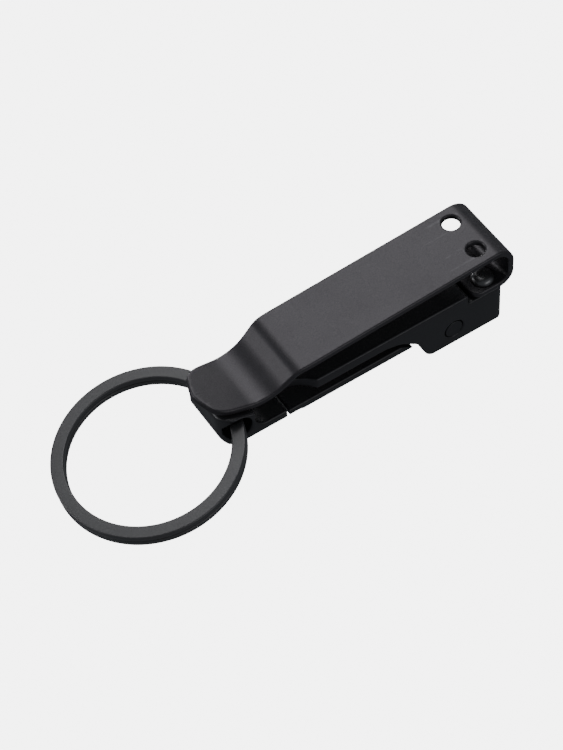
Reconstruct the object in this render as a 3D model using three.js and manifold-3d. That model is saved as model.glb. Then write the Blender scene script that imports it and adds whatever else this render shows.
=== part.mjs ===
// Key organiser: a sprung belt clip screwed to a slim frame, a pivoting key gate and a split ring.
// Millimetres. X runs along the frame with the ring end at -X, Y across it, Z up through the clip.
import * as THREE from 'three';
import { mergeVertices } from 'three/addons/utils/BufferGeometryUtils.js';
import Module from 'manifold-3d';

const wasm = await Module();
wasm.setup();

// ---- Driving dimensions. Heights are measured from the top of the spine. ----
const FRAME_WIDTH = 12.2;
const SPINE_THICKNESS = 2.0;
const CHEEK_CURVE = [[-20.5, -2.2], [-18.6, -2.75], [-17.1, -3.7], [-15.2, -5.2],
  [-14.7, -6.2], [-14.1, -7.7], [-13.4, -9.0], [-12.4, -9.7]];
const BLOCK_BOTTOM = -9.7;
const BLOCK_END = 1.3;
const BLOCK_CORNER = 1.4;
const BLOCK_CHAMFER = 0.12;
const ORIGIN_X = -2.0;

const RECESS_START = -5.6;
const RECESS_DEPTH = 1.9;
const SEAT_GAP = 0.1;

const JAW_BOTTOM = -5.0;
const JAW_TOP = -3.4;
const JAW_TIP = -39.4;
const NOSE_END = -50.7;
const NOSE_CORNER = 2.85;
const CHAMBER_END = -45.1;
const CHAMBER_CORNER = 2.4;
const NECK_HALF_WIDTH = 3.5;
const NECK_LIFT = 0.2;
const NECK_UNDERSIDE = -1.5;

const EYE_X = -47.9;
const EYE_Z = -1.6;
const EYE_RADIUS = 2.3;
const EYE_FLARE = 0.2;

const GATE_TOP = -3.6;
const GATE_BOTTOM = -5.03;
const GATE_TIP = -39.1;
const GATE_RELIEF = 0.25;
const WING_END_LOW = -16.1;
const WING_END_HIGH = -18.3;

const PIVOT_X = -8.3;
const PIVOT_Z = -6.2;
const PIVOT_RADIUS = 1.6;
const KNUCKLE_RADIUS = 2.6;
const TONGUE_WIDTH = 4.6;
const TONGUE_SLOT_WIDTH = 5.2;
const SPRING_X = -13.2;

const SHEET = 1.1;
const CLIP_WIDTH = 12.6;
const LIP_WIDTH = 11.3;
const LIP_EDGE = [[-48.0, 5.15], [-49.8, 5.0], [-51.0, 4.2], [-51.4, 2.6],
  [-51.8, 1.6], [-52.05, 0.8], [-52.1, 0]];
const CLIP_END = -4.7;
const BEND_OUTER = 3.0;
const LOWER_BEND_RADIUS = 2.2;
const UPPER_BEND_RADIUS = 3.0;
const CLIP_TOP_AT_BEND = 6.61;
const ARM_FALL = 2.86;
const ARM_END = -35.85;
const FLEX_GAP = 0.3;
const FLEX_Z = 2.0;

const SCREW_X = -1.4;
const SCREW_Y = 3.9;
const SCREW_HEAD_RADIUS = 1.87;
const SCREW_HEAD_HEIGHT = 1.15;
const SCREW_SHANK_RADIUS = 0.98;
const ACCESS_HOLE_X = -2.3;
const ACCESS_HOLE_Y = 3.3;
const ACCESS_HOLE_RADIUS = 1.45;

const RING_OUTER = 15.1;
const RING_INNER = 12.9;
const RING_THICKNESS = 2.2;
const RING_SLIT = 0.25;
const RING_END_ANGLE = 20;
const RING_SLIT_SWEEP = 320;
const RING_SIDE_SHIFT = -0.65;
const RING_REACH = 13.15;
const RING_DROOP = 8.08;
const RING_ROLL = -0.11;

const degrees = THREE.MathUtils.degToRad;

const blackSteel = new THREE.MeshStandardMaterial({ color: 0x2b2b2e, roughness: 0.55, metalness: 0.8 });
const blackClip = new THREE.MeshStandardMaterial({ color: 0x353538, roughness: 0.6, metalness: 0.8 });
const darkPin = new THREE.MeshStandardMaterial({ color: 0x38383a, roughness: 0.4, metalness: 0.9 });
const springSteel = new THREE.MeshStandardMaterial({ color: 0x9a9a98, roughness: 0.35, metalness: 1.0 });

// ---- Solids: three.js shapes joined and cut as closed meshes ----
function solid(geometry) {
  const bare = geometry.index ? geometry.toNonIndexed() : geometry.clone();
  bare.deleteAttribute('normal');
  bare.deleteAttribute('uv');
  const merged = mergeVertices(bare, 1e-5);
  return new wasm.Manifold(new wasm.Mesh({
    numProp: 3,
    vertProperties: new Float32Array(merged.attributes.position.array),
    triVerts: new Uint32Array(merged.index.array),
  }));
}

function meshOf(name, body, material) {
  const { vertProperties, triVerts } = body.getMesh();
  const geometry = new THREE.BufferGeometry();
  geometry.setAttribute('position', new THREE.BufferAttribute(vertProperties, 3));
  geometry.setIndex(new THREE.BufferAttribute(triVerts, 1));
  geometry.computeVertexNormals();
  const mesh = new THREE.Mesh(geometry, material);
  mesh.name = name;
  return mesh;
}

// A side outline, drawn in X and Z, carried across the width.
function acrossWidth(shape, width, curveSegments = 12) {
  const geometry = new THREE.ExtrudeGeometry(shape, { depth: width, bevelEnabled: false, curveSegments });
  geometry.rotateX(Math.PI / 2);
  geometry.translate(0, width / 2, 0);
  return solid(geometry);
}

// A plan outline, drawn in X and Y, carried up from low to high.
function upright(shape, low, high, curveSegments = 12) {
  const depth = high - low;
  const geometry = new THREE.ExtrudeGeometry(shape, { depth, bevelEnabled: false, curveSegments });
  geometry.translate(0, 0, low);
  return solid(geometry);
}

function polygon(points) {
  return new THREE.Shape(points.map(([x, y]) => new THREE.Vector2(x, y)));
}

// A rectangle from (x0, y0) to (x1, y1) with its own radius at the low-X and the high-X corners.
function roundedBar(x0, x1, y0, y1, radiusLow, radiusHigh) {
  const shape = new THREE.Shape();
  shape.moveTo(x0 + radiusLow, y0);
  shape.lineTo(x1 - radiusHigh, y0);
  shape.absarc(x1 - radiusHigh, y0 + radiusHigh, radiusHigh, -Math.PI / 2, 0, false);
  shape.lineTo(x1, y1 - radiusHigh);
  shape.absarc(x1 - radiusHigh, y1 - radiusHigh, radiusHigh, 0, Math.PI / 2, false);
  shape.lineTo(x0 + radiusLow, y1);
  shape.absarc(x0 + radiusLow, y1 - radiusLow, radiusLow, Math.PI / 2, Math.PI, false);
  shape.lineTo(x0, y0 + radiusLow);
  shape.absarc(x0 + radiusLow, y0 + radiusLow, radiusLow, Math.PI, 1.5 * Math.PI, false);
  return shape;
}

// A turned piece from a profile of [radius, height] points that starts and ends on its axis.
function turned(profile, segments = 32) {
  const geometry = new THREE.LatheGeometry(profile.map(([r, h]) => new THREE.Vector2(r, h)), segments);
  geometry.rotateX(Math.PI / 2);
  return solid(geometry);
}

function rod(radius, low, high, segments = 32) {
  return turned([[0, low], [radius, low], [radius, high], [0, high]], segments);
}

// The same rod laid across the frame, along Y.
function crossRod(radius, length, x, z, segments = 40) {
  return rod(radius, -length / 2, length / 2, segments).rotate([90, 0, 0]).translate([x, 0, z]);
}

// ---- Frame: block, spine, neck and nose in one piece ----
function frameOutline() {
  const shape = new THREE.Shape();
  shape.moveTo(-12.4, BLOCK_BOTTOM);
  shape.lineTo(BLOCK_END - BLOCK_CHAMFER, BLOCK_BOTTOM);
  shape.lineTo(BLOCK_END, BLOCK_BOTTOM + BLOCK_CHAMFER);
  shape.lineTo(BLOCK_END, -RECESS_DEPTH);
  shape.lineTo(RECESS_START, -RECESS_DEPTH);
  shape.lineTo(RECESS_START, 0);
  shape.lineTo(-34.2, 0);
  shape.bezierCurveTo(-36.0, 0, -36.4, NECK_LIFT, -38.2, NECK_LIFT);
  shape.lineTo(-43.8, NECK_LIFT);
  shape.bezierCurveTo(-45.4, NECK_LIFT, -46.4, 0.7, -48.2, 1.15);
  shape.quadraticCurveTo(NOSE_END, 1.75, NOSE_END, 0.6);
  shape.lineTo(NOSE_END, -2.6);
  shape.quadraticCurveTo(NOSE_END, JAW_BOTTOM, -48.2, JAW_BOTTOM);
  shape.lineTo(JAW_TIP, JAW_BOTTOM);
  shape.lineTo(JAW_TIP, JAW_TOP);
  shape.lineTo(CHAMBER_END + CHAMBER_CORNER, JAW_TOP);
  shape.absarc(CHAMBER_END + CHAMBER_CORNER, JAW_TOP + CHAMBER_CORNER, CHAMBER_CORNER,
    -Math.PI / 2, -Math.acos(-1) + 0.25, true);
  shape.bezierCurveTo(-44.7, NECK_UNDERSIDE + 0.3, -44.2, NECK_UNDERSIDE, -43.2, NECK_UNDERSIDE);
  shape.lineTo(-37.6, NECK_UNDERSIDE);
  shape.bezierCurveTo(-35.8, NECK_UNDERSIDE, -35.6, -SPINE_THICKNESS, -33.8, -SPINE_THICKNESS);
  shape.lineTo(-22.0, -SPINE_THICKNESS);
  shape.splineThru(CHEEK_CURVE.map(([x, z]) => new THREE.Vector2(x, z)));
  return shape;
}

// One side of the waist that clears the key rings, between the spine and the nose.
function waistCut(side) {
  const edge = FRAME_WIDTH / 2 + 1;
  const shape = new THREE.Shape();
  shape.moveTo(-32.9, edge);
  shape.bezierCurveTo(-34.4, 5.4, -36.0, NECK_HALF_WIDTH, -39.4, NECK_HALF_WIDTH);
  shape.lineTo(-42.6, NECK_HALF_WIDTH);
  shape.quadraticCurveTo(CHAMBER_END, NECK_HALF_WIDTH, CHAMBER_END, edge);
  const plan = upright(shape, JAW_TOP, 6);
  const profile = new THREE.Shape();
  profile.moveTo(-30, JAW_TOP);
  profile.lineTo(-30, 6);
  profile.lineTo(CHAMBER_END + 0.7, 6);
  profile.quadraticCurveTo(CHAMBER_END + 0.1, 1.2, CHAMBER_END, JAW_TOP + CHAMBER_CORNER);
  profile.absarc(CHAMBER_END + CHAMBER_CORNER, JAW_TOP + CHAMBER_CORNER, CHAMBER_CORNER,
    Math.PI, 1.5 * Math.PI, false);
  profile.closePath();
  const cut = plan.intersect(acrossWidth(profile, FRAME_WIDTH + 4));
  return side > 0 ? cut : cut.mirror([0, 1, 0]);
}

function bodyFrame() {
  const half = FRAME_WIDTH / 2;
  const plan = roundedBar(NOSE_END, BLOCK_END, -half, half, NOSE_CORNER, BLOCK_CORNER);
  let frame = acrossWidth(frameOutline(), FRAME_WIDTH).intersect(upright(plan, BLOCK_BOTTOM - 1, 6));
  frame = frame.subtract(waistCut(1)).subtract(waistCut(-1));
  frame = frame.subtract(crossRod(EYE_RADIUS, FRAME_WIDTH + 2, EYE_X, EYE_Z));
  for (const side of [-1, 1]) {
    const mouth = EYE_RADIUS + EYE_FLARE + 1;
    const flare = turned([[0, -1], [mouth, -1], [EYE_RADIUS, EYE_FLARE], [0, EYE_FLARE]]);
    frame = frame.subtract(flare.rotate([90 * side, 0, 0]).translate([EYE_X, side * half, EYE_Z]));
    const tapped = rod(SCREW_SHANK_RADIUS + 0.08, -6.6, 0, 20).translate([SCREW_X, side * SCREW_Y, 0]);
    frame = frame.subtract(tapped);
  }
  const slotSide = polygon([[-19, -2.9], [-19, -12], [-5.2, -12], [-5.2, -2.9]]);
  const tongueSlot = acrossWidth(slotSide, TONGUE_SLOT_WIDTH);
  const springPocket = rod(1.45, -4, -1.5, 24).translate([SPRING_X, 0, 0]);
  frame = frame.subtract(tongueSlot).subtract(springPocket);
  frame = frame.subtract(crossRod(PIVOT_RADIUS + 0.14, FRAME_WIDTH + 2, PIVOT_X, PIVOT_Z));
  return meshOf('body_frame', frame, blackSteel);
}

// ---- Gate: a flat bar that closes the chamber, with a tongue on the pivot pin ----
function gateLever() {
  const wings = new THREE.Shape();
  wings.moveTo(GATE_TIP, GATE_BOTTOM + GATE_RELIEF);
  wings.lineTo(-37.1, GATE_BOTTOM + GATE_RELIEF);
  wings.lineTo(-36.6, GATE_BOTTOM);
  wings.lineTo(WING_END_LOW, GATE_BOTTOM);
  wings.lineTo(WING_END_HIGH, GATE_TOP);
  wings.lineTo(GATE_TIP, GATE_TOP);
  const tongue = new THREE.Shape();
  tongue.moveTo(-20, GATE_BOTTOM);
  tongue.lineTo(-12.4, GATE_BOTTOM);
  tongue.quadraticCurveTo(-11.0, GATE_BOTTOM, PIVOT_X - KNUCKLE_RADIUS, PIVOT_Z);
  tongue.absarc(PIVOT_X, PIVOT_Z, KNUCKLE_RADIUS, Math.PI, 2.5 * Math.PI, false);
  tongue.lineTo(-20, GATE_TOP);
  const lever = acrossWidth(wings, FRAME_WIDTH).add(acrossWidth(tongue, TONGUE_WIDTH))
    .subtract(crossRod(PIVOT_RADIUS + 0.08, FRAME_WIDTH, PIVOT_X, PIVOT_Z));
  return meshOf('gate_lever', lever, blackSteel);
}

function gatePivotPin() {
  return meshOf('gate_pivot_pin', crossRod(PIVOT_RADIUS, FRAME_WIDTH - 0.1, PIVOT_X, PIVOT_Z), darkPin);
}

// The coil spring that presses the tongue down and so keeps the gate shut.
class CoilPath extends THREE.Curve {
  constructor(radius, turns, low, high) {
    super();
    Object.assign(this, { radius, turns, low, high });
  }

  getPoint(t, target = new THREE.Vector3()) {
    const angle = 2 * Math.PI * this.turns * t;
    const height = THREE.MathUtils.lerp(this.low, this.high, t);
    return target.set(this.radius * Math.cos(angle), this.radius * Math.sin(angle), height);
  }
}

function gateReturnSpring() {
  const wireRadius = 0.16;
  const section = new THREE.Shape().absarc(0, 0, wireRadius, 0, 2 * Math.PI, false);
  const path = new CoilPath(1.05, 4, GATE_TOP + 0.25, -1.75);
  const geometry = new THREE.ExtrudeGeometry(section, {
    steps: 64, curveSegments: 3, bevelEnabled: false, extrudePath: path,
  });
  geometry.translate(SPRING_X, 0, 0);
  return meshOf('gate_return_spring', solid(geometry), springSteel);
}

// ---- Belt clip: one bent strip, followed along its middle line ----
// Each leg is [length] for a straight run or [radius, turn in degrees] for a bend, left turns positive.
function clipMiddleLine() {
  const lowerZ = -RECESS_DEPTH + SEAT_GAP + SHEET / 2;
  const bendX = BEND_OUTER - SHEET / 2;
  const upperBendZ = CLIP_TOP_AT_BEND - SHEET / 2 - UPPER_BEND_RADIUS;
  const armLength = (bendX - UPPER_BEND_RADIUS - ARM_END) / Math.cos(degrees(ARM_FALL));
  const legs = [
    [bendX - LOWER_BEND_RADIUS - CLIP_END],
    [LOWER_BEND_RADIUS, 90],
    [upperBendZ - lowerZ - LOWER_BEND_RADIUS],
    [UPPER_BEND_RADIUS, 90 + ARM_FALL],
    [armLength],
    [3.0, 34],
    [1.9],
    [7.5, -52],
    [7.6],
  ];
  const points = [];
  const at = new THREE.Vector2(CLIP_END, lowerZ);
  let heading = 0;
  points.push([at.clone(), heading]);
  for (const [size, turn] of legs) {
    const steps = turn ? Math.ceil(Math.abs(turn) / 7) : 1;
    const bend = turn ? degrees(turn) / steps : 0;
    const stride = turn ? 2 * size * Math.sin(Math.abs(bend) / 2) : size;
    for (let i = 0; i < steps; i += 1) {
      heading += bend / 2;
      at.add(new THREE.Vector2(Math.cos(heading), Math.sin(heading)).multiplyScalar(stride));
      heading += bend / 2;
      points.push([at.clone(), heading]);
    }
  }
  return points;
}

function clipStrip() {
  const line = clipMiddleLine();
  const offset = (side) => line.map(([point, heading]) => new THREE.Vector2(
    point.x - side * Math.sin(heading) * SHEET / 2,
    point.y + side * Math.cos(heading) * SHEET / 2,
  ));
  const outline = new THREE.Shape([...offset(-1), ...offset(1).reverse()]);
  return acrossWidth(outline, CLIP_WIDTH + 1);
}

// The strip's width seen from above: straight along the arm, drawn in towards the rounded lip.
function clipPlan() {
  const half = CLIP_WIDTH / 2;
  const lip = LIP_WIDTH / 2;
  const shape = new THREE.Shape();
  shape.moveTo(BEND_OUTER + 1, -half);
  shape.lineTo(BEND_OUTER + 1, half);
  shape.lineTo(-34.5, half);
  shape.bezierCurveTo(-37.0, half, -38.5, lip + 0.2, -41.5, lip);
  for (const [x, y] of LIP_EDGE) shape.lineTo(x, y);
  for (const [x, y] of LIP_EDGE.slice(0, -1).reverse()) shape.lineTo(x, -y);
  shape.lineTo(-41.5, -lip);
  shape.bezierCurveTo(-38.5, -lip - 0.2, -37.0, -half, -34.5, -half);
  return shape;
}

function box(x0, x1, y0, y1, z0, z1) {
  const geometry = new THREE.BoxGeometry(x1 - x0, y1 - y0, z1 - z0);
  geometry.translate((x0 + x1) / 2, (y0 + y1) / 2, (z0 + z1) / 2);
  return solid(geometry);
}

// The clip is cut level through its bend, where the arm flexes: base below, sprung arm above.
function beltClip() {
  const strip = clipStrip();
  const half = CLIP_WIDTH / 2;
  const reach = 60;
  const seatPlan = upright(roundedBar(CLIP_END, reach, -half, half, 1.9, 0.1), -6, FLEX_Z - FLEX_GAP / 2);
  let base = strip.intersect(seatPlan);
  const armStrip = strip.intersect(upright(clipPlan(), -2, 12));
  const aboveFlex = box(-reach, reach, -half, half, FLEX_Z + FLEX_GAP / 2, 12);
  const lipEnd = box(-reach, -20, -half, half, -2, FLEX_Z + FLEX_GAP / 2);
  let arm = armStrip.intersect(aboveFlex.add(lipEnd));
  for (const side of [-1, 1]) {
    const screwHole = rod(SCREW_SHANK_RADIUS + 0.17, -4, 1, 20).translate([SCREW_X, side * SCREW_Y, 0]);
    base = base.subtract(screwHole);
    const accessHole = rod(ACCESS_HOLE_RADIUS, 3.5, 9).translate([ACCESS_HOLE_X, side * ACCESS_HOLE_Y, 0]);
    arm = arm.subtract(accessHole);
  }
  return [meshOf('clip_base', base, blackClip), meshOf('clip_arm', arm, blackClip)];
}

// Button-head screw with a hexagon socket, standing on the clip's lower leg.
function clipScrew(name, side) {
  const seat = -RECESS_DEPTH + SEAT_GAP + SHEET + 0.05;
  const profile = [[0, seat - 5.2], [SCREW_SHANK_RADIUS, seat - 5.2], [SCREW_SHANK_RADIUS, seat],
    [SCREW_HEAD_RADIUS, seat]];
  const domeRise = SCREW_HEAD_HEIGHT - 0.25;
  for (let i = 0; i <= 5; i += 1) {
    const angle = (i / 6) * (Math.PI / 2);
    profile.push([SCREW_HEAD_RADIUS * Math.cos(angle * 0.75), seat + 0.25 + domeRise * Math.sin(angle)]);
  }
  profile.push([0, seat + SCREW_HEAD_HEIGHT]);
  const socket = new THREE.CylinderGeometry(0.72, 0.72, 2, 6);
  socket.rotateX(Math.PI / 2);
  socket.translate(0, 0, seat + SCREW_HEAD_HEIGHT + 0.35);
  const screw = turned(profile, 28).subtract(solid(socket)).translate([SCREW_X, side * SCREW_Y, 0]);
  return meshOf(name, screw, darkPin);
}

// ---- Split ring: two flat coils of one wire, parted by a thin slit and two end cuts ----
function annulusSector(inner, outer, low, high, from, to) {
  const shape = new THREE.Shape();
  shape.absarc(0, 0, outer, from, to, false);
  shape.absarc(0, 0, inner, to, from, true);
  return upright(shape, low, high, 48);
}

function keyRing() {
  const half = RING_THICKNESS / 2;
  const full = new THREE.Shape().absarc(0, 0, RING_OUTER, 0, 2 * Math.PI, false);
  full.holes.push(new THREE.Path().absarc(0, 0, RING_INNER, 0, 2 * Math.PI, true));
  const slitStart = degrees(RING_END_ANGLE);
  const slitEnd = degrees(RING_END_ANGLE + RING_SLIT_SWEEP);
  const endCut = degrees(1.6);
  const inner = RING_INNER - 1;
  const outer = RING_OUTER + 1;
  const slit = annulusSector(inner, outer, -RING_SLIT / 2, RING_SLIT / 2, slitStart, slitEnd);
  const upperEnd = annulusSector(inner, outer, 0, half + 1, slitEnd - endCut, slitEnd);
  const lowerEnd = annulusSector(inner, outer, -half - 1, 0, slitStart, slitStart + endCut);
  const ring = upright(full, -half, half, 48).subtract(slit).subtract(upperEnd).subtract(lowerEnd);
  const mesh = meshOf('key_ring', ring, blackSteel);
  mesh.position.set(-RING_REACH, RING_SIDE_SHIFT, 0);
  const hung = new THREE.Group();
  hung.position.set(EYE_X, 0, EYE_Z);
  hung.rotation.set(degrees(RING_ROLL), -degrees(RING_DROOP), 0, 'YXZ');
  hung.add(mesh);
  return hung;
}

// ---- Assembly, with its origin on the solid part of the block's underside ----
const organiser = new THREE.Group();
organiser.position.set(-ORIGIN_X, 0, -BLOCK_BOTTOM);
organiser.add(
  bodyFrame(),
  gateLever(),
  gatePivotPin(),
  gateReturnSpring(),
  ...beltClip(),
  clipScrew('clip_screw_front', -1),
  clipScrew('clip_screw_rear', 1),
  keyRing(),
);

export default organiser;
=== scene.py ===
"""Key organiser: a matte black frame with a belt clip, a key gate and a split ring."""
import logging
import math
from dataclasses import dataclass
from enum import Enum
from typing import Callable, Sequence

import bmesh
import bpy
from mathutils import Matrix, Vector


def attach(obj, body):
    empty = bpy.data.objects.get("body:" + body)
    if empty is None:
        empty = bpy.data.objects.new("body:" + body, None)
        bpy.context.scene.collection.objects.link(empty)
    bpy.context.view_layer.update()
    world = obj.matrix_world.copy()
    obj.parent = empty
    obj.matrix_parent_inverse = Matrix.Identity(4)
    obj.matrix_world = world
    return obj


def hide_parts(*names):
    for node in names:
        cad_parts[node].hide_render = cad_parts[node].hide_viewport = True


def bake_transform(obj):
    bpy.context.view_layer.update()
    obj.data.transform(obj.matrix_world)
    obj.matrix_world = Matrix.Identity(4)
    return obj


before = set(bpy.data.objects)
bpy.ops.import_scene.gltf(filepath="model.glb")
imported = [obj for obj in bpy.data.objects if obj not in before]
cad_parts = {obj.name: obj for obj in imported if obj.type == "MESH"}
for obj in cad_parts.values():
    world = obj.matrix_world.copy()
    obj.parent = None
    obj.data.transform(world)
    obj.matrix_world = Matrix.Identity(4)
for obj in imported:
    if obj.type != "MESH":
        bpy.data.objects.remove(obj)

MM = 0.001
ROW_SHIFT = Vector((2.0, 0.0, 9.7))
"""From the spine's own datum, which the sizes below use, to the row frame, in millimetres."""
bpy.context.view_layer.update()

log = logging.getLogger("key_organiser")


def placed(x: float, y: float, z: float) -> Vector:
    """Turn a point measured from the spine's datum into the row frame.

    Args:
        x: Distance along the frame, in millimetres.
        y: Distance across the frame, in millimetres.
        z: Height above the top of the spine, in millimetres.

    Returns:
        The same point in the row frame, in metres.
    """
    return (Vector((x, y, z)) + ROW_SHIFT) * MM


class Body(Enum):
    """The bodies that the pieces ride on."""

    FRAME = "frame"
    CLIP = "clip"
    GATE = "gate"
    RING = "ring"


class Graph:
    """A node tree with a short way to add and join its nodes."""

    def __init__(self, tree: bpy.types.NodeTree) -> None:
        """Keep the tree.

        Args:
            tree: The shader or geometry tree to fill.
        """
        self.tree = tree

    def add(self, kind: str, inputs: dict | None = None, **settings: object) -> bpy.types.Node:
        """Add a node.

        Args:
            kind: The node's type name.
            inputs: Socket name or number to a value, or to a socket to join.
            **settings: The node's own properties.

        Returns:
            The new node.
        """
        node = self.tree.nodes.new(kind)
        for name, value in settings.items():
            setattr(node, name, value)
        for key, value in (inputs or {}).items():
            if isinstance(value, bpy.types.NodeSocket):
                self.tree.links.new(value, node.inputs[key])
            else:
                node.inputs[key].default_value = value
        return node

    def math(self, operation: str, *values: object) -> bpy.types.NodeSocket:
        """Add a Math node and give its result.

        Args:
            operation: The Math node's operation.
            *values: Numbers or sockets, in order.

        Returns:
            The result socket.
        """
        return self.add("ShaderNodeMath", dict(enumerate(values)), operation=operation).outputs[0]


# ---- Shared surface effects ----
def effect_group(name: str, inputs: dict[str, float], outputs: Sequence[str],
                 fill: Callable[[Graph, bpy.types.Node, bpy.types.Node], None]) -> bpy.types.NodeTree:
    """Build a shader node group once and give it again when asked for.

    Args:
        name: The group's name.
        inputs: Each input's name and starting value.
        outputs: The outputs' names.
        fill: Adds the nodes between the group's input and output nodes.

    Returns:
        The group.
    """
    found = bpy.data.node_groups.get(name)
    if found:
        return found
    tree = bpy.data.node_groups.new(name, "ShaderNodeTree")
    for label, value in inputs.items():
        socket = tree.interface.new_socket(name=label, in_out="INPUT", socket_type="NodeSocketFloat")
        socket.default_value = value
    for label in outputs:
        tree.interface.new_socket(name=label, in_out="OUTPUT", socket_type="NodeSocketFloat")
    graph = Graph(tree)
    fill(graph, graph.add("NodeGroupInput"), graph.add("NodeGroupOutput"))
    return tree


def fill_blasted_grain(graph: Graph, given: bpy.types.Node, result: bpy.types.Node) -> None:
    """Fine pits of a bead-blasted coating: a height, a tone and a gloss that vary together."""
    place = graph.add("ShaderNodeTexCoord").outputs["Object"]
    fine = graph.add("ShaderNodeTexNoise", {"Vector": place, "Scale": given.outputs["Grains per metre"],
                                            "Detail": 2.0, "Roughness": 0.6})
    coarse_scale = graph.math("MULTIPLY", given.outputs["Grains per metre"], 0.37)
    coarse = graph.add("ShaderNodeTexNoise", {"Vector": place, "Scale": coarse_scale, "Detail": 1.0})
    cloud = graph.add("ShaderNodeTexNoise", {"Vector": place, "Scale": 160.0, "Detail": 3.0})
    height = graph.math("ADD", graph.math("MULTIPLY", fine.outputs[0], 0.65),
                        graph.math("MULTIPLY", coarse.outputs[0], 0.35))
    graph.tree.links.new(height, result.inputs["Height"])
    spread = graph.math("MULTIPLY", graph.math("SUBTRACT", fine.outputs[0], 0.5), given.outputs["Speckle"])
    drift = graph.math("MULTIPLY", graph.math("SUBTRACT", cloud.outputs[0], 0.5), given.outputs["Mottle"])
    graph.tree.links.new(graph.math("ADD", spread, drift), result.inputs["Tone"])
    graph.tree.links.new(graph.math("MULTIPLY", drift, 0.6), result.inputs["Gloss"])


def fill_edge_polish(graph: Graph, given: bpy.types.Node, result: bpy.types.Node) -> None:
    """Handling wear: a broken mask that follows the outer edges."""
    place = graph.add("ShaderNodeTexCoord").outputs["Object"]
    edge = graph.add("ShaderNodeNewGeometry").outputs["Pointiness"]
    ramp = graph.add("ShaderNodeMapRange", {"Value": edge, "From Min": given.outputs["Edge start"],
                                            "From Max": given.outputs["Edge full"]})
    patch = graph.add("ShaderNodeTexNoise", {"Vector": place, "Scale": 900.0, "Detail": 4.0})
    broken = graph.add("ShaderNodeMapRange", {"Value": patch.outputs[0], "From Min": 0.38, "From Max": 0.66})
    mask = graph.math("MULTIPLY", ramp.outputs[0], broken.outputs[0])
    graph.tree.links.new(graph.math("MULTIPLY", mask, given.outputs["Amount"]), result.inputs["Mask"])


@dataclass(frozen=True)
class CoatedSteel:
    """Steel with a thin matte black coating, blasted before it was coated."""

    name: str
    colour: tuple[float, float, float]
    roughness: float
    metallic: float
    grains_per_metre: float = 7000.0
    pit_depth_mm: float = 0.012
    pit_strength: float = 0.35
    speckle: float = 0.5
    mottle: float = 0.25
    wear: float = 0.25
    worn_colour: tuple[float, float, float] = (0.16, 0.16, 0.17)

    def material(self) -> bpy.types.Material:
        """Build the finish as a material.

        Returns:
            The material, made once for each name.
        """
        found = bpy.data.materials.get(self.name)
        if found:
            return found
        material = bpy.data.materials.new(self.name)
        material.use_nodes = True
        graph = Graph(material.node_tree)
        shader = next(n for n in graph.tree.nodes if n.type == "BSDF_PRINCIPLED")
        shader.inputs["Metallic"].default_value = self.metallic
        grain = graph.add("ShaderNodeGroup", node_tree=effect_group(
            "blasted_grain", {"Grains per metre": 7000.0, "Speckle": 0.5, "Mottle": 0.25},
            ("Height", "Tone", "Gloss"), fill_blasted_grain))
        grain.inputs["Grains per metre"].default_value = self.grains_per_metre
        grain.inputs["Speckle"].default_value = self.speckle
        grain.inputs["Mottle"].default_value = self.mottle
        polish = graph.add("ShaderNodeGroup", node_tree=effect_group(
            "edge_polish", {"Edge start": 0.52, "Edge full": 0.60, "Amount": 0.3},
            ("Mask",), fill_edge_polish))
        polish.inputs["Amount"].default_value = self.wear
        tone = graph.math("ADD", 1.0, grain.outputs["Tone"])
        shade = graph.add("ShaderNodeVectorMath", {0: self.colour, "Scale": tone}, operation="SCALE")
        worn = graph.add("ShaderNodeMix", data_type="RGBA")
        graph.tree.links.new(polish.outputs["Mask"], worn.inputs["Factor"])
        graph.tree.links.new(shade.outputs[0], worn.inputs["A"])
        worn.inputs["B"].default_value = (*self.worn_colour, 1.0)
        graph.tree.links.new(worn.outputs["Result"], shader.inputs["Base Color"])
        rough = graph.math("ADD", self.roughness, grain.outputs["Gloss"])
        rough = graph.math("SUBTRACT", rough, graph.math("MULTIPLY", polish.outputs["Mask"], 0.2))
        graph.tree.links.new(rough, shader.inputs["Roughness"])
        bump = graph.add("ShaderNodeBump", {"Strength": self.pit_strength, "Distance": self.pit_depth_mm * MM,
                                            "Height": grain.outputs["Height"]})
        graph.tree.links.new(bump.outputs[0], shader.inputs["Normal"])
        return material


class Finishes:
    """The finishes of the organiser."""

    CLIP = CoatedSteel("clip_coating", (0.060, 0.057, 0.063), 0.39, 0.60, speckle=1.2)
    FRAME = CoatedSteel("frame_coating", (0.048, 0.048, 0.052), 0.40, 0.60, speckle=0.6)
    RING = CoatedSteel("ring_coating", (0.105, 0.105, 0.108), 0.42, 0.65, speckle=0.6, mottle=0.35, wear=0.3)
    PIN = CoatedSteel("pin_coating", (0.045, 0.045, 0.048), 0.38, 0.75, grains_per_metre=9000.0,
                      pit_strength=0.15, speckle=0.2)
    SCREW = CoatedSteel("screw_coating", (0.16, 0.16, 0.165), 0.34, 0.85, grains_per_metre=9000.0,
                        pit_strength=0.15, speckle=0.2, wear=0.5)
    SPRING = CoatedSteel("spring_wire", (0.50, 0.50, 0.49), 0.30, 1.0, grains_per_metre=12000.0,
                         pit_strength=0.1, speckle=0.1, wear=0.0, worn_colour=(0.6, 0.6, 0.6))


# ---- Mesh helpers ----
def new_piece(name: str, mesh: bpy.types.Mesh, finish: CoatedSteel) -> bpy.types.Object:
    """Put a finished mesh in the scene.

    Args:
        name: The piece's name.
        mesh: Its mesh, already in the row frame.
        finish: What it is coated with.

    Returns:
        The piece, at the origin.
    """
    mesh.name = name
    mesh.materials.clear()
    mesh.materials.append(finish.material())
    piece = bpy.data.objects.new(name, mesh)
    bpy.context.scene.collection.objects.link(piece)
    log.info("%s: %d faces", name, len(mesh.polygons))
    return piece


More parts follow.
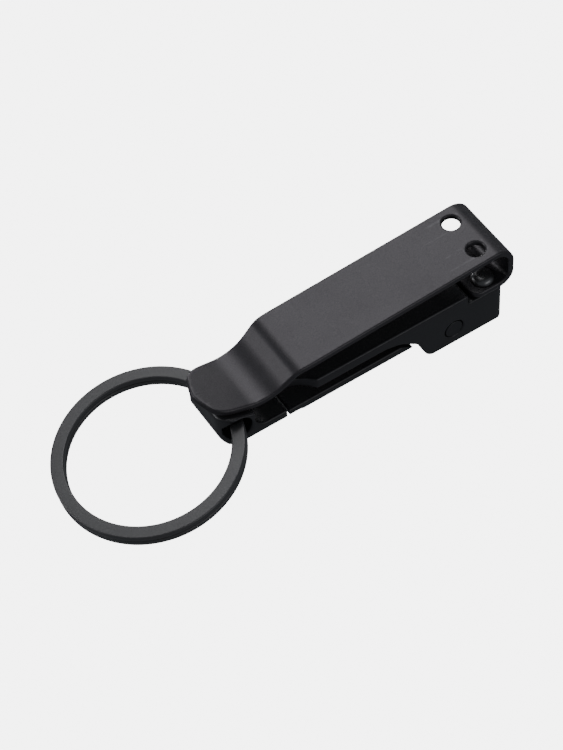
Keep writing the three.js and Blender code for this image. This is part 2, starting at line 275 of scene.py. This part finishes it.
def made_mesh(source: bpy.types.Object) -> bpy.types.Mesh:
    """Turn an object and its modifiers into a plain mesh, and drop the object.

    Args:
        source: A curve or a mesh object with modifiers.

    Returns:
        The plain mesh.
    """
    if not source.users_collection:
        bpy.context.scene.collection.objects.link(source)
    bpy.context.view_layer.update()
    graph = bpy.context.evaluated_depsgraph_get()
    mesh = bpy.data.meshes.new_from_object(source.evaluated_get(graph), depsgraph=graph)
    bpy.data.objects.remove(source)
    return mesh


def smooth(mesh: bpy.types.Mesh, crease: float = 60.0) -> None:
    """Shade a mesh smoothly except over creases.

    Args:
        mesh: The mesh to shade.
        crease: The sharpest bend that stays smooth, in degrees.
    """
    mesh.shade_smooth()
    mesh.set_sharp_from_angle(angle=math.radians(crease))


def flatten_shading(piece: bpy.types.Object) -> None:
    """Keep the flats flat beside rounded edges."""
    weighted = piece.modifiers.new("flats", "WEIGHTED_NORMAL")
    weighted.keep_sharp = True
    weighted.weight = 80


# ---- Belt clip ----
@dataclass
class BeltClip:
    """One strip of spring steel, bent to a hook and drawn in to a rounded lip."""

    thickness: float = 1.1
    width: float = 12.6
    edge_radius: float = 0.34
    seat_height: float = -1.8
    inner_end: float = -4.7
    bend_outer: float = 3.0
    lower_radius: float = 2.2
    upper_radius: float = 3.0
    top_height: float = 6.61
    arm_fall: float = 2.86
    arm_end: float = -35.85
    lip_width: float = 11.3
    lip_tip: float = -52.1
    hole_radius: float = 1.45
    hole_x: float = -2.3
    hole_y: float = 3.3
    screw_hole_radius: float = 1.15
    screw_x: float = -1.4
    screw_y: float = 3.9
    blend_low: float = 0.9
    blend_high: float = 3.0
    blend_lean: float = 0.42

    def middle_line(self) -> list[tuple[float, float, float, float]]:
        """Follow the middle of the strip from its screwed end to the lip.

        Returns:
            Points of (length so far, x, z, heading), in millimetres and radians.
        """
        low = self.seat_height + self.thickness / 2
        wall = self.bend_outer - self.thickness / 2
        high = self.top_height - self.thickness / 2 - self.upper_radius
        arm = (wall - self.upper_radius - self.arm_end) / math.cos(math.radians(self.arm_fall))
        legs = [
            (wall - self.lower_radius - self.inner_end, 0.0),
            (self.lower_radius, 90.0),
            (high - low - self.lower_radius, 0.0),
            (self.upper_radius, 90.0 + self.arm_fall),
            (arm, 0.0),
            (3.0, 34.0),
            (1.9, 0.0),
            (7.5, -52.0),
            (7.6, 0.0),
        ]
        length, x, z, heading = 0.0, self.inner_end, low, 0.0
        line = [(length, x, z, heading)]
        for size, turn in legs:
            steps = math.ceil(abs(turn) / 3.0) if turn else 12
            bend = math.radians(turn) / steps
            arc = size * abs(bend) if turn else size / steps
            stride = 2 * size * math.sin(abs(bend) / 2) if turn else arc
            for _ in range(steps):
                heading += bend / 2
                x += stride * math.cos(heading)
                z += stride * math.sin(heading)
                heading += bend / 2
                length += arc
                line.append((length, x, z, heading))
        return line

    def length_at(self, line: list[tuple[float, float, float, float]], x: float) -> float:
        """Find how far along the strip its upper arm reaches an x.

        Args:
            line: The middle line.
            x: The place along the frame, in millimetres.

        Returns:
            The length from the screwed end, in millimetres.
        """
        upper = [p for p in line if p[2] > 3.0 or p[1] < -10.0]
        for before, after in zip(upper, upper[1:]):
            if after[1] <= x <= before[1]:
                share = (before[1] - x) / (before[1] - after[1])
                return before[0] + share * (after[0] - before[0])
        return upper[-1][0] - (x - upper[-1][1])

    def outline(self, line: list[tuple[float, float, float, float]]) -> list[tuple[float, float]]:
        """Draw the strip laid flat.

        Args:
            line: The middle line.

        Returns:
            One side of the outline from the screwed end to the lip's tip, as (length, y).
        """
        half, lip, corner = self.width / 2, self.lip_width / 2, 1.9
        side = []
        for i in range(13):
            angle = math.pi / 2 * i / 12
            side.append((corner - corner * math.cos(angle), half - corner + corner * math.sin(angle)))
        plan = [((-34.5, half), (-37.0, half), (-38.5, lip + 0.2), (-41.5, lip)),
                ((-41.5, lip), (-43.7, lip - 0.16), (-45.8, lip - 0.34), (-48.0, lip - 0.5)),
                ((-48.0, lip - 0.5), (-49.8, lip - 0.65), (-51.0, lip - 1.45), (-51.4, 2.6)),
                ((-51.4, 2.6), (-51.8, 1.6), (-52.05, 0.8), (self.lip_tip, 0.0))]
        for a, b, c, d in plan:
            for i in range(14):
                t = i / 14
                weights = ((1 - t) ** 3, 3 * t * (1 - t) ** 2, 3 * t * t * (1 - t), t ** 3)
                x, y = (sum(w * p[k] for w, p in zip(weights, (a, b, c, d))) for k in (0, 1))
                side.append((self.length_at(line, x), y))
        side.append((self.length_at(line, self.lip_tip), 0.0))
        return side

    def flat_blank(self, line: list[tuple[float, float, float, float]]) -> bpy.types.Mesh:
        """Cut the blank with its holes and rounded edges, before it is bent.

        Args:
            line: The middle line.

        Returns:
            The blank, with x along its length and z through its thickness, in millimetres.
        """
        side = self.outline(line)
        loops = [side + [(s, -y) for s, y in reversed(side[:-1])]]
        holes = [(self.length_at(line, self.hole_x), self.hole_y, self.hole_radius),
                 (self.screw_x - self.inner_end, self.screw_y, self.screw_hole_radius)]
        for s, y, radius in holes:
            for sign in (-1, 1):
                angles = [2 * math.pi * i / 40 for i in range(40)]
                loops.append([(s + radius * math.cos(a), sign * y + radius * math.sin(a)) for a in angles])
        curve = bpy.data.curves.new("clip_blank", "CURVE")
        curve.dimensions, curve.fill_mode = "2D", "BOTH"
        curve.extrude = self.thickness / 2 - self.edge_radius
        curve.bevel_depth, curve.bevel_resolution, curve.offset = self.edge_radius, 4, -self.edge_radius
        for loop in loops:
            spline = curve.splines.new("POLY")
            spline.points.add(len(loop) - 1)
            spline.points.foreach_set("co", [v for s, y in loop for v in (s, y, 0.0, 1.0)])
            spline.use_cyclic_u = True
        return made_mesh(bpy.data.objects.new("clip_blank", curve))

    def bent(self, blank: bpy.types.Mesh, line: list[tuple[float, float, float, float]]) -> bpy.types.Mesh:
        """Bend the blank along the middle line.

        Args:
            blank: The flat blank.
            line: The middle line.

        Returns:
            The clip's mesh in the row frame.
        """
        shape = bmesh.new()
        shape.from_mesh(blank)
        bmesh.ops.remove_doubles(shape, verts=shape.verts, dist=1e-4)
        for length, *_ in line[1:-1]:
            everything = [*shape.verts, *shape.edges, *shape.faces]
            bmesh.ops.bisect_plane(shape, geom=everything, dist=1e-5,
                                   plane_co=(length, 0, 0), plane_no=(1, 0, 0))
        for vertex in shape.verts:
            s, y, h = vertex.co
            x, z, heading = self.at(line, s)
            vertex.co = placed(x + h * math.sin(heading), y, z - h * math.cos(heading))
        bmesh.ops.remove_doubles(shape, verts=shape.verts, dist=1e-7)
        bmesh.ops.recalc_face_normals(shape, faces=shape.faces)
        shape.to_mesh(blank)
        shape.free()
        return blank

    def at(self, line: list[tuple[float, float, float, float]], s: float) -> tuple[float, float, float]:
        """Give the middle line's x, z and heading at a length.

        Args:
            line: The middle line.
            s: The length from the screwed end, in millimetres.

        Returns:
            x, z and heading, straight on past either end.
        """
        for before, after in zip(line, line[1:]):
            if s <= after[0] or after is line[-1]:
                share = (s - before[0]) / (after[0] - before[0])
                x = before[1] + share * (after[1] - before[1])
                z = before[2] + share * (after[2] - before[2])
                return x, z, before[3] + min(max(share, 0.0), 1.0) * (after[3] - before[3])
        raise ValueError("the middle line has no length")

    def build(self) -> bpy.types.Object:
        """Make the clip and bake it into the row frame.

        Returns:
            The clip.
        """
        line = self.middle_line()
        mesh = self.bent(self.flat_blank(line), line)
        smooth(mesh, 50.0)
        piece = new_piece("belt_clip", mesh, Finishes.CLIP)
        flatten_shading(piece)
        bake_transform(piece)
        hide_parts("clip_base", "clip_arm")
        return piece


# ---- Frame and gate: milled pieces with softened edges ----
@dataclass
class MilledPiece:
    """A solid milled piece whose edges were tumbled round before it was coated."""

    node: str
    name: str
    body: Body
    slot: str
    cell: float
    passes: int

    def build(self) -> bpy.types.Object:
        """Round the piece's edges and put it in place of its plain solid.

        Returns:
            The piece.
        """
        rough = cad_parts[self.node].data.copy()
        shape = bmesh.new()
        shape.from_mesh(rough)
        bmesh.ops.remove_doubles(shape, verts=shape.verts, dist=1e-6)
        shape.to_mesh(rough)
        shape.free()
        blank = bpy.data.objects.new(self.name, rough)
        remesh = blank.modifiers.new("even", "REMESH")
        remesh.mode, remesh.voxel_size = "VOXEL", self.cell * MM
        tumble = blank.modifiers.new("tumble", "SMOOTH")
        tumble.factor, tumble.iterations = 0.5, self.passes
        mesh = made_mesh(blank)
        mesh.shade_smooth()
        piece = new_piece(self.name, mesh, Finishes.FRAME)
        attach(piece, self.body.value)
        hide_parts(self.node)
        return piece


# ---- Geometry Nodes ----
class ShapeTree:
    """A Geometry Nodes tree with named sizes, run once into a plain mesh."""

    def __init__(self, name: str, sizes: dict[str, float]) -> None:
        """Start the tree.

        Args:
            name: The tree's name.
            sizes: Each input's name and value.
        """
        self.tree = bpy.data.node_groups.new(name, "GeometryNodeTree")
        self.sizes = sizes
        self.sockets = {}
        for label, value in sizes.items():
            socket = self.tree.interface.new_socket(name=label, in_out="INPUT", socket_type="NodeSocketFloat")
            socket.default_value = value
            self.sockets[label] = socket.identifier
        self.tree.interface.new_socket(name="Geometry", in_out="OUTPUT", socket_type="NodeSocketGeometry")
        self.graph = Graph(self.tree)
        self.given = self.graph.add("NodeGroupInput").outputs

    def run(self, shape: bpy.types.NodeSocket, finish: CoatedSteel) -> bpy.types.Mesh:
        """End the tree and turn it into a mesh.

        Args:
            shape: The finished geometry's socket.
            finish: The finish that its material comes from.

        Returns:
            The plain mesh, in the tree's own place.
        """
        real = self.graph.add("GeometryNodeRealizeInstances", {0: shape})
        coated = self.graph.add("GeometryNodeSetMaterial", {"Geometry": real.outputs[0],
                                                            "Material": finish.material()})
        self.graph.add("NodeGroupOutput", {0: coated.outputs[0]})
        holder = bpy.data.objects.new(self.tree.name, bpy.data.meshes.new(self.tree.name))
        modifier = holder.modifiers.new("shape", "NODES")
        modifier.node_group = self.tree
        for label, value in self.sizes.items():
            modifier[self.sockets[label]] = value
        return made_mesh(holder)


@dataclass
class SplitRing:
    """A flat wire wound into two touching coils."""

    outer: float = 15.1
    wire_width: float = 2.18
    wire_height: float = 1.03
    coil_gap: float = 0.13
    corner: float = 0.24
    start_angle: float = 20.0
    ramp: float = 40.0
    reach: float = 13.15
    side_shift: float = -0.65
    droop: float = 8.08
    roll: float = -0.11
    eye: tuple[float, float, float] = (-47.9, 0.0, -1.6)

    def wound(self) -> bpy.types.Mesh:
        """Wind the wire about its own centre.

        Returns:
            The ring's mesh, in metres.
        """
        shape = ShapeTree("split_ring", {
            "Radius": (self.outer - self.wire_width / 2) * MM,
            "Wire width": self.wire_width * MM,
            "Wire height": self.wire_height * MM,
            "Coil pitch": (self.wire_height + self.coil_gap) * MM,
            "Corner": self.corner * MM,
            "Start": math.radians(self.start_angle),
            "Sweep": math.radians(720.0 - self.ramp),
            "Ramp from": (360.0 - self.ramp) / (720.0 - self.ramp),
            "Ramp to": 360.0 / (720.0 - self.ramp),
        })
        graph, given = shape.graph, shape.given
        count = 361
        points = graph.add("GeometryNodeMeshLine", {"Count": count})
        wire = graph.add("GeometryNodeMeshToCurve", {0: points.outputs[0]})
        share = graph.math("DIVIDE", graph.add("GeometryNodeInputIndex").outputs[0], count - 1.0)
        angle = graph.math("ADD", given["Start"], graph.math("MULTIPLY", share, given["Sweep"]))
        rise = graph.add("ShaderNodeMapRange", {"Value": share, "From Min": given["Ramp from"],
                                                "From Max": given["Ramp to"], "To Min": -0.5, "To Max": 0.5},
                         interpolation_type="SMOOTHSTEP")
        place = graph.add("ShaderNodeCombineXYZ", {
            0: graph.math("MULTIPLY", given["Radius"], graph.math("COSINE", angle)),
            1: graph.math("MULTIPLY", given["Radius"], graph.math("SINE", angle)),
            2: graph.math("MULTIPLY", rise.outputs[0], given["Coil pitch"]),
        })
        coil = graph.add("GeometryNodeSetPosition",
                         {"Geometry": wire.outputs[0], "Position": place.outputs[0]})
        upright = graph.add("GeometryNodeSetCurveNormal", {"Curve": coil.outputs[0]}, mode="Z_UP")
        section = graph.add("GeometryNodeCurvePrimitiveQuadrilateral",
                            {"Width": given["Wire width"], "Height": given["Wire height"]})
        rounded = graph.add("GeometryNodeFilletCurve",
                            {"Curve": section.outputs[0], "Radius": given["Corner"], "Count": 5}, mode="POLY")
        drawn = graph.add("GeometryNodeCurveToMesh", {"Curve": upright.outputs[0],
                                                      "Profile Curve": rounded.outputs[0], "Fill Caps": True})
        return shape.run(drawn.outputs[0], Finishes.RING)

    def build(self) -> bpy.types.Object:
        """Hang the ring in the frame's eye.

        Returns:
            The ring.
        """
        mesh = self.wound()
        hang = (Matrix.Translation(placed(*self.eye))
                @ Matrix.Rotation(math.radians(-self.droop), 4, "Y")
                @ Matrix.Rotation(math.radians(self.roll), 4, "X")
                @ Matrix.Translation(Vector((-self.reach, self.side_shift, 0.0)) * MM))
        mesh.transform(hang)
        smooth(mesh, 50.0)
        piece = new_piece("split_ring", mesh, Finishes.RING)
        flatten_shading(piece)
        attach(piece, Body.RING.value)
        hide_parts("key_ring")
        return piece


@dataclass
class ClipScrews:
    """Two button-head screws with hexagon sockets, side by side on the clip's seat."""

    x: float = -1.4
    spacing: float = 7.8
    seat: float = -0.65
    head_radius: float = 1.87
    head_height: float = 1.15
    rim_height: float = 0.22
    shank_radius: float = 0.98
    shank_length: float = 5.2
    socket_radius: float = 0.74
    socket_depth: float = 0.65

    def head_outline(self) -> list[tuple[float, float]]:
        """Draw half of the screw's outline from its tip to its crown.

        Returns:
            Points of (radius, height) in metres.
        """
        points = [(0.0, -self.shank_length), (self.shank_radius - 0.2, -self.shank_length),
                  (self.shank_radius, -self.shank_length + 0.2), (self.shank_radius, 0.0),
                  (self.head_radius - 0.08, 0.0), (self.head_radius, 0.08),
                  (self.head_radius, self.rim_height)]
        for i in range(1, 13):
            angle = math.pi / 2 * i / 13
            points.append((self.head_radius * math.cos(angle * 0.8),
                           self.rim_height + (self.head_height - self.rim_height) * math.sin(angle)))
        points.append((0.0, self.head_height))
        return [(r * MM, z * MM) for r, z in points]

    def turned(self) -> bpy.types.Object:
        """Turn one screw about its axis, in the holder object that the tree copies.

        Returns:
            The screw, without its socket.
        """
        shape = bmesh.new()
        ring = [shape.verts.new((r, 0.0, z)) for r, z in self.head_outline()]
        edges = [shape.edges.new(pair) for pair in zip(ring, ring[1:])]
        bmesh.ops.spin(shape, geom=[*ring, *edges], cent=(0, 0, 0), axis=(0, 0, 1),
                       angle=2 * math.pi, steps=48, use_merge=True)
        bmesh.ops.remove_doubles(shape, verts=shape.verts, dist=1e-7)
        bmesh.ops.recalc_face_normals(shape, faces=shape.faces)
        mesh = bpy.data.meshes.new("screw_blank")
        shape.to_mesh(mesh)
        shape.free()
        blank = bpy.data.objects.new("screw_blank", mesh)
        bpy.context.scene.collection.objects.link(blank)
        return blank

    def build(self) -> bpy.types.Object:
        """Cut the sockets, set the pair on the seat and fasten them to the frame.

        Returns:
            Both screws as one piece.
        """
        blank = self.turned()
        shape = ShapeTree("clip_screws", {
            "Spacing": self.spacing * MM,
            "Socket radius": self.socket_radius * MM,
            "Socket depth": self.socket_depth * MM,
            "Crown": self.head_height * MM,
        })
        graph, given = shape.graph, shape.given
        screw = graph.add("GeometryNodeObjectInfo", {"Object": blank})
        twice_deep = graph.math("MULTIPLY", given["Socket depth"], 2.0)
        hexagon = graph.add("GeometryNodeMeshCylinder",
                            {"Vertices": 6, "Radius": given["Socket radius"], "Depth": twice_deep})
        lift = graph.add("ShaderNodeCombineXYZ", {2: given["Crown"]})
        drill = graph.add("GeometryNodeTransform", {"Geometry": hexagon.outputs["Mesh"],
                                                    "Translation": lift.outputs[0]})
        cut = graph.add("GeometryNodeMeshBoolean", operation="DIFFERENCE")
        graph.tree.links.new(screw.outputs["Geometry"], cut.inputs["Mesh 1"])
        graph.tree.links.new(drill.outputs[0], cut.inputs["Mesh 2"])
        apart = graph.add("ShaderNodeCombineXYZ", {1: given["Spacing"]})
        pair = graph.add("GeometryNodeMeshLine", {"Count": 2, "Offset": apart.outputs[0]})
        row = graph.add("GeometryNodeInstanceOnPoints",
                        {"Points": pair.outputs[0], "Instance": cut.outputs[0]})
        mesh = shape.run(row.outputs[0], Finishes.SCREW)
        bpy.data.objects.remove(blank)
        mesh.transform(Matrix.Translation(placed(self.x, -self.spacing / 2, self.seat)))
        smooth(mesh, 40.0)
        piece = new_piece("clip_screws", mesh, Finishes.SCREW)
        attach(piece, Body.FRAME.value)
        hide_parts("clip_screw_front", "clip_screw_rear")
        return piece


@dataclass
class PivotPin:
    """The gate's pin, flush with both cheeks and lightly chamfered."""

    x: float = -8.3
    z: float = -6.2
    radius: float = 1.6
    length: float = 12.1
    chamfer: float = 0.14

    def build(self) -> bpy.types.Object:
        """Turn the pin and press it into the frame.

        Returns:
            The pin.
        """
        shape = bmesh.new()
        bmesh.ops.create_cone(shape, cap_ends=True, segments=72, radius1=self.radius * MM,
                              radius2=self.radius * MM, depth=self.length * MM)
        rims = [e for e in shape.edges if abs(e.verts[0].co.z - e.verts[1].co.z) < 1e-9]
        bmesh.ops.bevel(shape, geom=rims, offset=self.chamfer * MM, segments=3, profile=0.5, affect="EDGES")
        bmesh.ops.recalc_face_normals(shape, faces=shape.faces)
        mesh = bpy.data.meshes.new("pivot_pin")
        shape.to_mesh(mesh)
        shape.free()
        mesh.transform(Matrix.Translation(placed(self.x, 0, self.z)) @ Matrix.Rotation(math.pi / 2, 4, "X"))
        smooth(mesh, 50.0)
        piece = new_piece("pivot_pin", mesh, Finishes.PIN)
        flatten_shading(piece)
        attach(piece, Body.FRAME.value)
        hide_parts("gate_pivot_pin")
        return piece


@dataclass
class GateSpring:
    """The small coil spring hidden in the frame, above the gate's tongue."""

    node: str = "gate_return_spring"

    def dress(self) -> None:
        """Give the plain spring its wire finish."""
        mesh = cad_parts[self.node].data
        mesh.materials.clear()
        mesh.materials.append(Finishes.SPRING.material())
        log.info("%s: dressed", self.node)


# ---- Studio ----
@dataclass
class Softbox:
    """A soft rectangular light that looks at the organiser."""

    name: str
    direction: tuple[float, float, float]
    distance: float
    size: tuple[float, float]
    power: float

    def build(self, target: Vector) -> None:
        """Hang the light and turn it to the target.

        Args:
            target: The point it looks at, in metres.
        """
        light = bpy.data.lights.new(self.name, "AREA")
        light.shape = "RECTANGLE"
        light.size, light.size_y = self.size
        light.energy = self.power
        holder = bpy.data.objects.new(self.name, light)
        toward = Vector(self.direction).normalized()
        holder.location = target + toward * self.distance
        holder.rotation_mode = "QUATERNION"
        holder.rotation_quaternion = toward.to_track_quat("Z", "Y")
        bpy.context.scene.collection.objects.link(holder)


@dataclass
class Studio:
    """The camera, the pale floor and the soft lights."""

    azimuth: float = -28.8
    elevation: float = 52.78
    roll: float = -5.22
    lens: float = 110.4
    camera_place: tuple[float, float, float] = (-139.76, -187.69, 278.88)
    floor_half: float = 4.0
    floor_tone: float = 6.0
    room_tone: tuple[float, float, float] = (0.14, 0.148, 0.16)

    def camera(self) -> None:
        """Stand the camera at the viewing angle."""
        az, el, roll = (math.radians(v) for v in (self.azimuth, self.elevation, self.roll))
        back = Vector((math.sin(az) * math.cos(el), -math.cos(az) * math.cos(el), math.sin(el)))
        level = Vector((math.cos(az), math.sin(az), 0.0))
        plumb = back.cross(level)
        right = math.cos(roll) * level + math.sin(roll) * plumb
        up = -math.sin(roll) * level + math.cos(roll) * plumb
        data = bpy.data.cameras.new("camera")
        data.lens, data.sensor_width, data.sensor_fit = self.lens, 36.0, "AUTO"
        data.clip_start, data.clip_end = 0.01, 20.0
        holder = bpy.data.objects.new("camera", data)
        holder.matrix_world = (Matrix.Translation(placed(*self.camera_place))
                               @ Matrix((right, up, back)).transposed().to_4x4())
        bpy.context.scene.collection.objects.link(holder)
        bpy.context.scene.camera = holder

    def floor(self) -> None:
        """Lay the pale floor, hidden from diffuse and glossy rays so that it does not light the organiser."""
        mesh = bpy.data.meshes.new("floor")
        h = self.floor_half
        mesh.from_pydata([(-h, -h, 0), (h, -h, 0), (h, h, 0), (-h, h, 0)], [], [(0, 1, 2, 3)])
        material = bpy.data.materials.new("floor_paper")
        material.use_nodes = True
        graph = Graph(material.node_tree)
        graph.tree.nodes.clear()
        glow = graph.add("ShaderNodeEmission", {"Color": (1, 1, 1, 1), "Strength": self.floor_tone})
        paper = graph.add("ShaderNodeBsdfDiffuse", {"Color": (0.8, 0.8, 0.8, 1)})
        mix = graph.add("ShaderNodeMixShader", {0: 0.04, 1: glow.outputs[0], 2: paper.outputs[0]})
        graph.add("ShaderNodeOutputMaterial", {0: mix.outputs[0]})
        mesh.materials.append(material)
        floor = bpy.data.objects.new("floor", mesh)
        floor.visible_glossy = False
        floor.visible_diffuse = False
        bpy.context.scene.collection.objects.link(floor)

    def lights(self) -> None:
        """Hang the main soft light above, with smaller ones at the left, along the horizon and in front."""
        target = placed(-25, 0, 0)
        for box in (
            Softbox("main_light", (0.25, 0.53, 0.81), 0.7, (0.42, 0.6), 1.7),
            Softbox("left_light", (-0.78, 0.5, 0.3), 0.7, (0.3, 0.3), 1.2),
            Softbox("horizon_strip", (0.29, 0.95, 0.04), 0.8, (0.9, 0.07), 2.4),
            Softbox("front_fill", (0.3, -1.0, 0.4), 0.9, (0.7, 0.5), 1.2),
        ):
            box.build(target)
        world = bpy.data.worlds.new("room")
        world.use_nodes = True
        world.node_tree.nodes["Background"].inputs[0].default_value = (*self.room_tone, 1.0)
        bpy.context.scene.world = world

    def build(self) -> None:
        """Set the whole studio."""
        self.camera()
        self.floor()
        self.lights()


def main() -> None:
    """Build the organiser's pieces in order, then the studio."""
    logging.basicConfig(level=logging.INFO, format="%(name)s %(message)s")
    MilledPiece("body_frame", "milled_frame", Body.FRAME, "frame_black", cell=0.18, passes=4).build()
    MilledPiece("gate_lever", "key_gate", Body.GATE, "frame_black", cell=0.13, passes=4).build()
    PivotPin().build()
    GateSpring().dress()
    ClipScrews().build()
    BeltClip().build()
    SplitRing().build()
    Studio().build()


if __name__ == "__main__":
    main()
